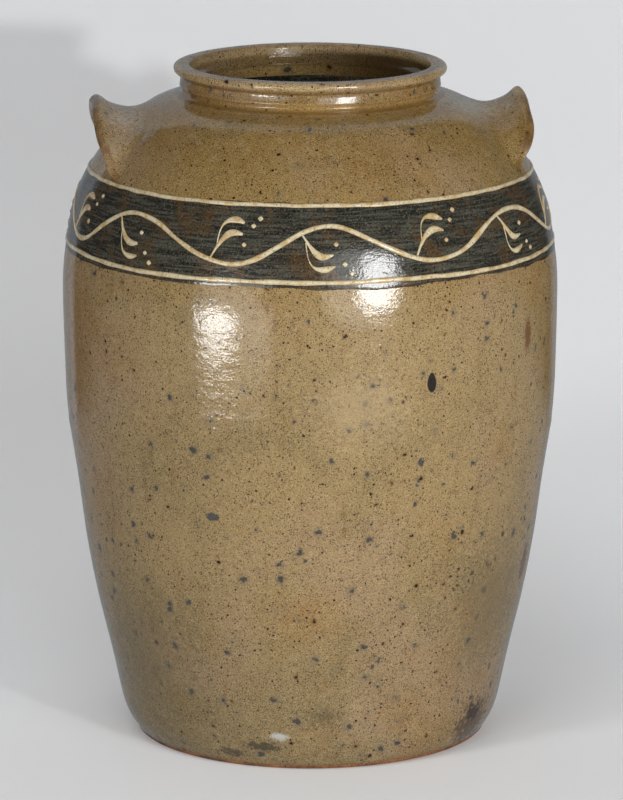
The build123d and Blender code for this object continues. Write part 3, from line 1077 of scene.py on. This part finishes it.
def paper_sheet(name, side_view):
    """Extrudes one edge along a side view of (y, z) points in metres: a sheet that faces up."""
    shape = bmesh.new()
    ends = [shape.verts.new((x, *side_view[0])) for x in (-HALF_WIDTH, HALF_WIDTH)]
    edges = [shape.edges.new(ends)]
    for (y0, z0), (y1, z1) in zip(side_view, side_view[1:]):
        made = bmesh.ops.extrude_edge_only(shape, edges=edges)["geom"]
        moved = {part for part in made if isinstance(part, bmesh.types.BMVert)}
        bmesh.ops.translate(shape, vec=(0, y1 - y0, z1 - z0), verts=list(moved))
        edges = [part for part in made if isinstance(part, bmesh.types.BMEdge)]
        edges = [edge for edge in edges if moved.issuperset(edge.verts)]
    bmesh.ops.recalc_face_normals(shape, faces=shape.faces)
    shape.faces.ensure_lookup_table()
    if shape.faces[0].normal.z < 0:
        bmesh.ops.reverse_faces(shape, faces=shape.faces)
    sheet = as_object(name, shape, sweep_material)
    sheet.data.shade_smooth()
    print(name, "faces:", len(sheet.data.polygons))
    return sheet


arc = [
    (CURVE_START + CURVE_RADIUS * math.sin(turn), CURVE_RADIUS - CURVE_RADIUS * math.cos(turn))
    for turn in np.linspace(0.06, math.pi / 2, 24)
]
sweep = paper_sheet("sweep", [(FRONT, 0.0), (CURVE_START, 0.0), *arc, (CURVE_START + CURVE_RADIUS, TOP)])
floor_beyond = paper_sheet("floor_beyond", [(CURVE_START, 0.0), (FAR, 0.0)])

# %% [markdown]
# ## Light
# The two bright spots on the belly are oval softboxes, nearly level with the jar, one on each side of the
# camera. Each has a wider and fainter halo, which only shows in the gloss, and two soft lamps that never show
# in the gloss lift the front and the shoulder. The jar and the paper are lit apart by light linking, because
# that lets the shadow on the paper be set on its own: a small low lamp at the right throws it, and softer
# lamps fill it in. A dim surround does the rest.

# %% Softboxes
# Name, turn, rise, size, height as a share of the size, watts, distance, height aimed at, and what it lights.
# Angles are in degrees from the camera's side, and lengths in metres.
JAR_LAMPS = (
    ("key_softbox", 30, 5, 0.62, 0.9, 14, 2.0, 0.29, "all"),
    ("fill_softbox", -40.4, -7, 0.36, 0.55, 2.5, 1.2, 0.29, "gloss"),
    ("fill_wash", -24, 12, 0.6, 1.0, 6, 2.0, 0.34, "colour"),
    ("key_halo", 24, 5, 1.3, 0.75, 7, 2.0, 0.29, "gloss"),
    ("fill_halo", -34, -5, 0.8, 0.7, 2.2, 1.2, 0.29, "gloss"),
    ("top_softbox", 6, 26, 0.5, 1.0, 5.5, 2.0, 0.41, "colour"),
)
PAPER_LAMPS = (
    ("key_spill_low", 31.5, 9.9, 0.12, 1.0, 25, 3.0, 0.24, "all"),
    ("key_spill_high", 30, 38, 0.8, 1.0, 9.5, 3.0, 0.24, "all"),
    ("fill_spill", -40, 39, 0.6, 1.0, 13, 3.0, 0.24, "all"),
    ("floor_spill", -10, 60, 1.2, 1.0, 20, 3.0, 0.24, "all"),
)


def softbox(lit, name, turn, rise, size, tall, power, distance, aim, what):
    """An oval area light that lights one collection: its colour, its gloss or all of it."""
    angle = math.radians(turn) - YAW
    up = math.radians(rise)
    way = Vector((math.sin(angle) * math.cos(up), -math.cos(angle) * math.cos(up), math.sin(up)))
    data = bpy.data.lights.new(name, "AREA")
    data.shape = "ELLIPSE"
    data.size = size
    data.size_y = size * tall
    data.energy = power
    lamp = bpy.data.objects.new(name, data)
    lamp.location = Vector((0, 0, aim)) + way * distance
    lamp.rotation_euler = way.to_track_quat("Z", "Y").to_euler()
    lamp.visible_camera = False
    lamp.visible_diffuse = what != "gloss"
    lamp.visible_glossy = what != "colour"
    lamp.light_linking.receiver_collection = lit
    bpy.context.scene.collection.objects.link(lamp)


pieces = (lower_section, upper_section, neck_and_rim, left_handle, right_handle, slip_band, trailed_slip)
sheets = (sweep, floor_beyond)
for label, members, lamps in (("jar_only", pieces, JAR_LAMPS), ("paper_only", sheets, PAPER_LAMPS)):
    lit = bpy.data.collections.new(label)
    for member in members:
        lit.objects.link(member)
    for lamp in lamps:
        softbox(lit, *lamp)
    print(label, "lamps:", [name for name, *_ in lamps])

# %% Surround
WORLD_COLOUR = (0.80, 0.82, 0.86, 1)
WORLD_DIFFUSE, WORLD_GLOSSY, WORLD_SEEN = 0.09, 0.03, 0.75
surround = bpy.data.worlds.new("surround")
bpy.context.scene.world = surround
surround.use_nodes = True
tree = surround.node_tree
background = tree.nodes["Background"]
give(background.inputs["Color"], WORLD_COLOUR)
rays = node("LightPath", {}, tree).outputs
strength = mix(rays["Is Glossy Ray"], (WORLD_DIFFUSE,) * 3 + (1,), (WORLD_GLOSSY,) * 3 + (1,))
strength = mix(rays["Is Camera Ray"], strength, (WORLD_SEEN,) * 3 + (1,))
give(background.inputs["Strength"], strength)
print("surround:", WORLD_DIFFUSE, "on clay,", WORLD_GLOSSY, "in the gloss and", WORLD_SEEN, "in view")

# %% [markdown]
# ## Camera
# The picture was taken from a little above the jar with a long lens, which shows in how flat the rim's ellipse
# is and how little the sides lean in. The jar's own height gives the distance.

# %% The camera
DISTANCE, HEIGHT, SHIFT = 3.4125, 0.98799, 0.0009
FOCAL_LENGTH, TILT = 232.92, 77.386
lens = bpy.data.cameras.new("camera")
lens.lens = FOCAL_LENGTH
lens.sensor_width = 36
lens.clip_end = 50
camera = bpy.data.objects.new("camera", lens)
camera.location = (
    -DISTANCE * math.sin(YAW) + SHIFT * math.cos(YAW),
    -DISTANCE * math.cos(YAW) - SHIFT * math.sin(YAW),
    HEIGHT,
)
camera.rotation_euler = (math.radians(TILT), 0, -YAW)
bpy.context.scene.collection.objects.link(camera)
bpy.context.scene.camera = camera
bpy.context.scene.view_settings.view_transform = "Standard"
print("camera at", [round(value, 3) for value in camera.location])
